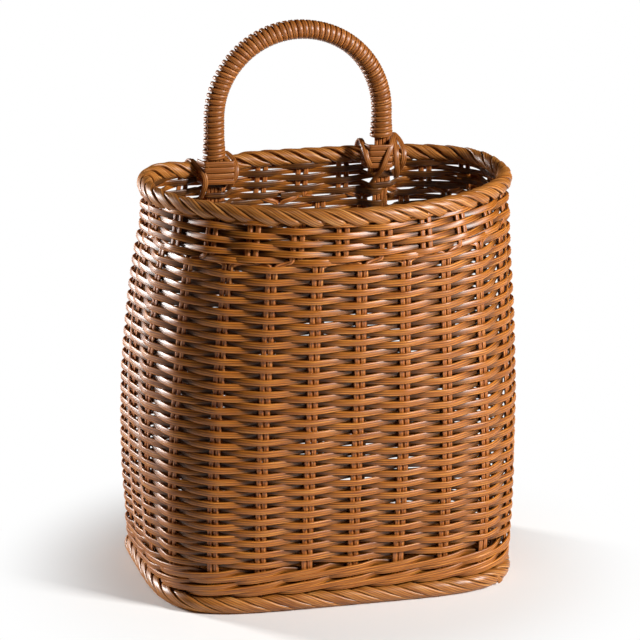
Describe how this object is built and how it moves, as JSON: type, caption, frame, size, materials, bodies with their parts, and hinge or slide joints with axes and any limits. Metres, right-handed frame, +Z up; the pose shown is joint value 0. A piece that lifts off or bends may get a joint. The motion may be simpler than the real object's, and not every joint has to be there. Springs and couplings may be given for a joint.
{
  "type": "wall basket",
  "caption": "Narrow woven wall basket with a flat back, a bowed front, a rolled rim and foot, and a fixed wrapped arch handle at the back.",
  "frame": {"origin": "middle of the basket's box, on the surface that it stands on", "axes": "+Z up; +Y out of the flat back, towards the wall; -Y out of the bowed front; +X to the right as seen from the front"},
  "size_m": [0.2572, 0.1694, 0.358],
  "materials": {
    "stake_strip": "satin, finely ribbed along the strip",
    "weaver_strip": "satin, finely ribbed along the strip",
    "collar_strip": "satin, finely ribbed along the strip",
    "border_strip": "satin, finely ribbed along the strip",
    "base_strip": "satin, finely ribbed along the strip",
    "handle_core": "satin",
    "wrap_strip": "satin, finely ribbed along the strip"
  },
  "bodies": {
    "root": {"back_stake_1": "stake_strip", "back_stake_2": "stake_strip", "back_stake_3": "stake_strip", "back_stake_4": "stake_strip", "back_stake_5": "stake_strip", "back_stake_6": "stake_strip", "base_stick_1": "base_strip", "base_stick_2": "base_strip", "base_stick_3": "base_strip", "base_stick_4": "base_strip", "base_stick_5": "base_strip", "base_stick_6": "base_strip", "base_stick_7": "base_strip", "base_weaver_1": "base_strip", "base_weaver_2": "base_strip", "base_weaver_3": "base_strip", "base_weaver_4": "base_strip", "base_weaver_5": "base_strip", "base_weaver_6": "base_strip", "collar_weaver": "collar_strip", "foot_border": "border_strip", "foot_waling_inner": "weaver_strip", "foot_waling_outer": "weaver_strip", "front_stake_1": "stake_strip", "front_stake_2": "stake_strip", "front_stake_3": "stake_strip", "front_stake_4": "stake_strip", "front_stake_5": "stake_strip", "handle_core": "handle_core", "handle_wrap": "wrap_strip", "left_lashing_1": "wrap_strip", "left_lashing_2": "wrap_strip", "left_stake_1": "stake_strip", "left_stake_2": "stake_strip", "left_stake_3": "stake_strip", "left_stake_4": "stake_strip", "left_stake_5": "stake_strip", "left_stake_6": "stake_strip", "right_lashing_1": "wrap_strip", "right_lashing_2": "wrap_strip", "right_lashing_3": "wrap_strip", "right_stake_1": "stake_strip", "right_stake_2": "stake_strip", "right_stake_3": "stake_strip", "right_stake_4": "stake_strip", "right_stake_5": "stake_strip", "right_stake_6": "stake_strip", "rim_border": "border_strip", "side_weaver_1": "weaver_strip", "side_weaver_2": "weaver_strip", "side_weaver_3": "weaver_strip", "side_weaver_4": "weaver_strip", "side_weaver_5": "weaver_strip", "side_weaver_6": "weaver_strip"}
  },
  "joints": []
}
